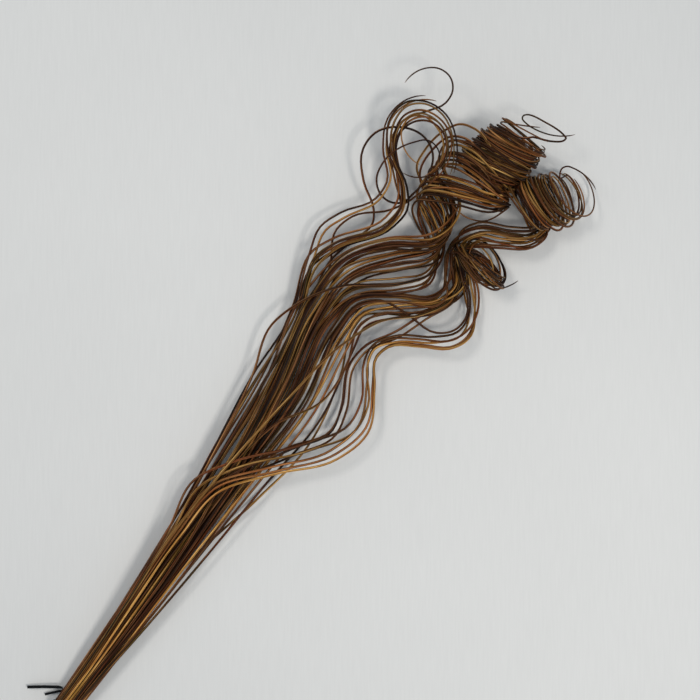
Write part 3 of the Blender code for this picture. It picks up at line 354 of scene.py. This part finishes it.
def lay_out(mesh, along):
    """Lays a rib's skin out flat in strips side by side that fill a square, and its ends in a last one."""
    strips = max(1, round(math.sqrt(along[-1] / ROUND_LENGTH)))
    strip_length = along[-1] / strips
    places = []
    for ring in range(len(along) - 1):
        strip = min(int(along[ring] / strip_length), strips - 1)
        start = strip * strip_length
        low = (along[ring] - start) / (strip_length + LONGEST_STEP)
        high = (along[ring + 1] - start) / (strip_length + LONGEST_STEP)
        for side in range(SIDES):
            left = (strip + STRIP_EDGE + (1 - 2 * STRIP_EDGE) * side / SIDES) / (strips + 1)
            right = left + (1 - 2 * STRIP_EDGE) / SIDES / (strips + 1)
            places += [(left, low), (right, low), (right, high), (left, high)]
    middle = (strips + 0.5) / (strips + 1)
    reach = CAP_RADIUS / (strips + 1)
    cut, tip = (middle, CUT_CAP_HEIGHT), (middle, TIP_CAP_HEIGHT)
    for side in range(SIDES):
        here, after = (math.tau * turn / SIDES for turn in (side, side + 1))
        rims = [(reach * math.cos(angle), reach * math.sin(angle)) for angle in (here, after)]
        cut_rims = [(cut[0] + across, cut[1] + up) for across, up in rims]
        tip_rims = [(tip[0] + across, tip[1] + up) for across, up in rims]
        places += [cut, cut_rims[1], cut_rims[0], tip, *tip_rims]
    layer = mesh.uv_layers.new(name="OFBake")
    layer.data.foreach_set("uv", np.array(places, np.float32).ravel())


def new_piece(name, corners, faces, material):
    """A new mesh object of this material, which moves with the bunch."""
    mesh = bpy.data.meshes.new(name)
    mesh.from_pydata([tuple(corner) for corner in corners], [], faces)
    mesh.materials.append(material)
    piece = bpy.data.objects.new(name, mesh)
    bpy.context.collection.objects.link(piece)
    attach(piece, "root")
    return piece


def set_values(mesh, straight, age, tone, cut):
    """Gives each corner the values that its material reads.

    They are where it would be if the stem were pulled straight, as what share of the way to the tip, the tone
    of the stem or strip, and 1 on the cut.
    """
    places = mesh.attributes.new("straight", "FLOAT_VECTOR", "POINT")
    places.data.foreach_set("vector", np.array(straight, np.float32).ravel())
    for name, value in (("age", age), ("tone", tone), ("cut", cut)):
        values = mesh.attributes.new(name, "FLOAT", "POINT")
        values.data.foreach_set("value", np.full(len(mesh.vertices), value, np.float32))


def make_stem(name, number, materials):
    """A fine stem in the place of the plain node of this name. Gives its route and its radius along it."""
    node = frame["nodes"][name]
    slot = node.data.materials[0].name.split(".")[0]
    points, widths = smooth_route(*ring_centres(node.data))
    points, widths, along = add_ends(points, widths)
    points[:, 2] = np.maximum(points[:, 2], widths)  # its underside stays off the floor
    rings, straight = stem_rings(points, widths, along, number)
    corners = [*rings.reshape(-1, 3), points[0], points[-1]]
    places = np.vstack([straight.reshape(-1, 3), [[0, 0, 0], [0, 0, along[-1]]]])
    cut = np.zeros(len(corners))
    cut[:SIDES] = 1
    cut[len(rings) * SIDES] = 1
    stem = new_piece(name + "_rib", corners, rib_faces(len(rings)), materials[slot])
    stem.data.shade_smooth()
    lay_out(stem.data, along)
    tone = random.Random(TONE_SEED + number).random()
    set_values(stem.data, places, places[:, 2] / along[-1], tone, cut)
    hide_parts(name)
    return points, widths


def shown_peel(routes, shown_place):
    """Where to put the strip that the photograph shows: the outermost point of the stems that pass there."""
    near = []
    for points, widths in routes:
        for index in range(1, len(points) - 1):
            if np.linalg.norm(points[index][:2] - shown_place[:2]) < PEEL_REACH:
                near.append((points[index][0], index, points, widths))
    return min(near, key=lambda found: found[0])[1:]


def peel_start(points, widths, index, angle):
    """Where a strip starts, just under the stem's skin, the way it runs and the way it stands off."""
    way = (points[index + 1] - points[index]) / np.linalg.norm(points[index + 1] - points[index])
    side = np.cross(way, UP)
    side /= np.linalg.norm(side)
    outward = math.cos(angle) * side - math.sin(angle) * np.cross(side, way)
    return points[index] + outward * (widths[index] - PEEL_THICKNESS), way, outward


def peel_corners(base, way, outward, length, width, lift):
    """The corners of a narrow strip that runs along the stem and bends away from it."""
    across = np.cross(way, outward)
    corners = []
    for step in range(PEEL_STEPS + 1):
        part = step / PEEL_STEPS
        middle = base + way * length * part + outward * (lift * length * part**2)
        lean = math.atan(2 * lift * part)
        up = outward * math.cos(lean) - way * math.sin(lean)
        share = 1 - (1 - PEEL_TIP_SHARE) * part
        for wide, high in PEEL_SECTION:
            side = across * (wide * share * width / 2)
            corners.append(middle + side + up * (high * share * PEEL_THICKNESS / 2))
    return corners


def peel_faces(first):
    """The faces of a strip whose first corner has this number."""
    around = len(PEEL_SECTION)
    faces = []
    for ring in range(PEEL_STEPS):
        low, high = first + around * ring, first + around * (ring + 1)
        for here in range(around):
            after = (here + 1) % around
            faces.append((low + here, low + after, high + after, high + here))
    last = first + around * PEEL_STEPS
    faces.append(tuple(reversed(range(first, first + around))))
    faces.append(tuple(range(last, last + around)))
    return faces


def make_peels(routes, shown_place, material):
    """The loose strips of all the stems, in one piece."""
    draw = random.Random(SEED)
    chosen = [shown_peel(routes, shown_place)]
    while len(chosen) < PEELS:
        points, widths = routes[draw.randrange(len(routes))]
        chosen.append((round(draw.uniform(*PEEL_PLACES) * len(points)), points, widths))
    corners = []
    faces = []
    straight = []
    tones = []
    for index, points, widths in chosen:
        angle = draw.uniform(*PEEL_ANGLES) if corners else SHOWN_PEEL_ANGLE
        base, way, outward = peel_start(points, widths, index, angle)
        length, width, lift = (draw.uniform(*ends) for ends in (PEEL_LENGTHS, PEEL_WIDTHS, PEEL_LIFTS))
        strip = peel_corners(base, way, outward, length, width, lift)
        faces += peel_faces(len(corners))
        corners += strip
        straight += [corner - base for corner in strip]
        tones += [draw.random()] * len(strip)
    peels = new_piece("peels", corners, faces, material)
    set_values(peels.data, straight, age=0, tone=tones, cut=0)


class Surface:
    """A new material with its shader, and short ways to add nodes to it."""

    def __init__(self, name):
        self.material = bpy.data.materials.new(name)
        self.material.use_nodes = True
        self.tree = self.material.node_tree
        self.shader = self.tree.nodes["Principled BSDF"]

    def feed(self, socket, value):
        """Links another node's output to a socket, or sets the socket to a plain value."""
        if isinstance(value, bpy.types.NodeSocket):
            self.tree.links.new(value, socket)
        else:
            socket.default_value = value

    def add(self, kind, inputs, output=0, **settings):
        """Adds a node with these settings and inputs, and gives the output that is asked for."""
        node = self.tree.nodes.new("ShaderNode" + kind)
        for setting, value in settings.items():
            setattr(node, setting, value)
        for socket, value in inputs.items():
            self.feed(node.inputs[socket], value)
        return node.outputs[output]

    def noise(self, place, grain):
        """Noise at a place."""
        inputs = {"Scale": grain.scale, "Detail": grain.detail, "Roughness": grain.roughness}
        return self.add("TexNoise", {"Vector": place, **inputs})

    def rib_noise(self, place, grain):
        """Noise at a place on a rib, drawn out along it."""
        drawn_out = self.add("Mapping", {"Vector": place, "Scale": (1.0, 1.0, grain.along)})
        return self.noise(drawn_out, grain)

    def between(self, ends, value, source=(0.0, 1.0)):
        """A value from one end to the other, as another value goes through its own range."""
        low, high = source
        span = {"From Min": low, "From Max": high, "To Min": ends[0], "To Max": ends[1]}
        return self.add("MapRange", {"Value": value, **span})

    def times(self, first, second):
        """One number times another."""
        return self.add("Math", {0: first, 1: second}, operation="MULTIPLY")

    def dimmed(self, colour, shade):
        """A colour times a number."""
        return self.add("VectorMath", {0: colour, "Scale": shade}, operation="SCALE")

    def mixed(self, colour, other, share):
        """A colour with a share of another."""
        inputs = {"Factor": share, MIX_FIRST: colour, MIX_SECOND: other}
        return self.add("Mix", inputs, MIX_RESULT, data_type="RGBA")

    def ramp(self, value, places, colours):
        """The colour that belongs to a value, from colours at these places."""
        output = self.add("ValToRGB", {"Fac": value})
        stops = output.node.color_ramp.elements
        stops[0].position, stops[0].color = places[0], colours[0]
        stops[1].position, stops[1].color = places[-1], colours[-1]
        for place, colour in zip(places[1:-1], colours[1:-1]):
            stops.new(place).color = colour
        return output

    def bump(self, height, strength, depth):
        """The surface's direction with this relief."""
        return self.add("Bump", {"Height": height, "Strength": strength, "Distance": depth})

    def finish(self, inputs):
        """Gives the shader its inputs. Returns the material."""
        for socket, value in inputs.items():
            self.feed(self.shader.inputs[socket], value)
        return self.material


def stem_material(name):
    """Dried rib: long fibres, soft patches of red and olive, dark specks, a satin skin, and painted shade and
    painted highlight down its sides.
    """
    furrow, side, ridge = STEM_TONES[name]
    surface = Surface(name)
    straight = surface.add("Attribute", {}, "Vector", attribute_name="straight")
    tone = surface.add("Attribute", {}, "Fac", attribute_name="tone")
    age = surface.add("Attribute", {}, "Fac", attribute_name="age")
    cut = surface.add("Attribute", {}, "Fac", attribute_name="cut")
    offset = surface.add("CombineXYZ", {"Z": surface.times(tone, OWN_NOISE_REACH)})
    place = surface.add("VectorMath", {0: straight, 1: offset}, operation="ADD")
    fibres = surface.rib_noise(place, FIBRES)
    patches = surface.rib_noise(place, PATCHES)
    specks = surface.rib_noise(place, SPECKS)
    # Noise for the painted shade and painted highlight down each stem's sides, partly the rib's own groove
    # and ridge
    sides = surface.rib_noise(place, PAINTED_LIGHT_SIDES)

    colour = surface.ramp(fibres, TONE_PLACES, (furrow, side, ridge))
    red_share = surface.between((0, MOST_RED), patches, RED_PATCHES)
    colour = surface.mixed(colour, REDDISH, red_share)
    olive_patch = surface.between((0, 1), patches, OLIVE_PATCHES)
    olive_stem = surface.between((0, MOST_OLIVE), tone, OLIVE_STEMS)
    colour = surface.mixed(colour, OLIVE, surface.times(olive_patch, olive_stem))
    speck_share = surface.between((0, MOST_SPECKED), specks, SPECK_PEAKS)
    colour = surface.mixed(colour, furrow, speck_share)

    own_shade = surface.between(STEM_SHADES, tone)
    age_shade = surface.between(AGE_SHADES, age, AGED_PART)
    # Painted shade on one side of each stem and a painted highlight on the other, partly the rib's own groove
    # and ridge
    painted_side_light = surface.between(PAINTED_SHADE_TO_HIGHLIGHT, sides, SIDE_NOISE)
    # The stem's own shade and its darkening toward the tip, times the painted side shade and highlight
    shade = surface.times(surface.times(own_shade, age_shade), painted_side_light)
    colour = surface.mixed(surface.dimmed(colour, shade), CUT_TONE, cut)
    return surface.finish({
        "Base Color": colour,
        "Roughness": surface.between(FIBRE_ROUGHNESSES, fibres),
        "Normal": surface.bump(fibres, FIBRE_BUMP, FIBRE_DEPTH),
        "Specular IOR Level": STEM_GLOSS,
    })


def tie_material():
    """Black matt plastic with a fine grain."""
    surface = Surface("tie_black")
    place = surface.add("NewGeometry", {}, "Position")
    grain = surface.noise(place, TIE_GRAIN)
    return surface.finish({
        "Base Color": surface.ramp(grain, (0.0, 1.0), TIE_TONES),
        "Roughness": surface.between(TIE_ROUGHNESSES, grain),
        "Normal": surface.bump(grain, TIE_BUMP, TIE_GRAIN_DEPTH),
        "Specular IOR Level": TIE_GLOSS,
    })


def floor_material():
    """A pale painted board, faintly clouded, with faint streaks that stand upright in the photograph."""
    surface = Surface("floor")
    place = surface.add("NewGeometry", {}, "Position")
    clouds = surface.between(CLOUD_SHADES, surface.noise(place, FLOOR_CLOUDS))
    brush = {"Vector": place, "Rotation": (0, 0, PHOTO_TURN), "Scale": (1.0, STREAK_STRETCH, 1.0)}
    brushed = surface.add("Mapping", brush, vector_type="TEXTURE")
    streaks = surface.between(STREAK_SHADES, surface.noise(brushed, FLOOR_STREAKS))
    uneven = surface.times(clouds, streaks)
    return surface.finish({
        "Base Color": surface.dimmed(FLOOR_TONE[:3], uneven),
        "Roughness": FLOOR_ROUGHNESS,
    })


def in_photo(right, down):
    """This way in the photograph as a way on the floor."""
    across = right * ACROSS_IN_PHOTO[0] + down * ACROSS_IN_PHOTO[1]
    along = right * ALONG_IN_PHOTO[0] + down * ALONG_IN_PHOTO[1]
    return Vector((across, along, 0))


def on_floor(place):
    """The point on the floor at this place in the photograph, found from the tie's place in both."""
    tie_point = Vector(frame["record"]["mounts"][0]["pos_m"])
    return tie_point + in_photo(place[0] - TIE_IN_PHOTO[0], place[1] - TIE_IN_PHOTO[1]) * PIXEL


def make_floor(middle):
    """The pale floor that the bunch lies on."""
    bpy.ops.mesh.primitive_plane_add(size=FLOOR_SIDE, location=(middle.x, middle.y, -FLOOR_DROP))
    floor = bpy.context.object
    floor.name = "floor"
    floor.data.materials.append(floor_material())


def make_camera(middle):
    """The camera, straight above the middle of the photograph, which it frames."""
    data = bpy.data.cameras.new("camera")
    data.sensor_width = SENSOR
    data.lens = SENSOR * CAMERA_HEIGHT / (PHOTO_SIDE * PIXEL)
    camera = bpy.data.objects.new("camera", data)
    camera.location = middle + CAMERA_HEIGHT * Vector(UP)
    camera.rotation_euler = (0, 0, PHOTO_TURN)
    bpy.context.collection.objects.link(camera)
    bpy.context.scene.camera = camera


def make_light(name, light, middle):
    """A light that faces the middle of the photograph."""
    data = bpy.data.lights.new(name, "AREA")
    data.size = light.side
    data.energy = light.power
    data.color = LIGHT_TINT
    offset = (in_photo(*light.lean) + Vector(UP)) * light.height
    lamp = bpy.data.objects.new(name, data)
    lamp.location = middle + offset
    lamp.rotation_euler = (-offset).to_track_quat("-Z", "Y").to_euler()
    bpy.context.collection.objects.link(lamp)


def make_world():
    """The pale room's own light."""
    world = bpy.data.worlds.new("room")
    world.use_nodes = True
    background = world.node_tree.nodes["Background"]
    background.inputs["Color"].default_value = ROOM_TINT
    background.inputs["Strength"].default_value = ROOM_STRENGTH
    bpy.context.scene.world = world


def main():
    """Dresses the bunch, and sets up the floor, the camera and the lights around it."""
    materials = {name: stem_material(name) for name in STEM_TONES}
    names = sorted(name for name in frame["nodes"] if name.startswith("stem_"))
    routes = [make_stem(name, number, materials) for number, name in enumerate(names, start=1)]
    make_peels(routes, np.array(on_floor(PEEL_IN_PHOTO)), materials["stem_golden"])
    frame["nodes"]["tie"].material_slots[0].material = tie_material()
    middle = on_floor(PHOTO_MIDDLE)
    make_camera(middle)
    make_floor(middle)
    make_light("key", KEY, middle)
    make_light("fill", FILL, middle)
    make_world()
    bpy.context.scene.view_settings.view_transform = "Standard"


main()
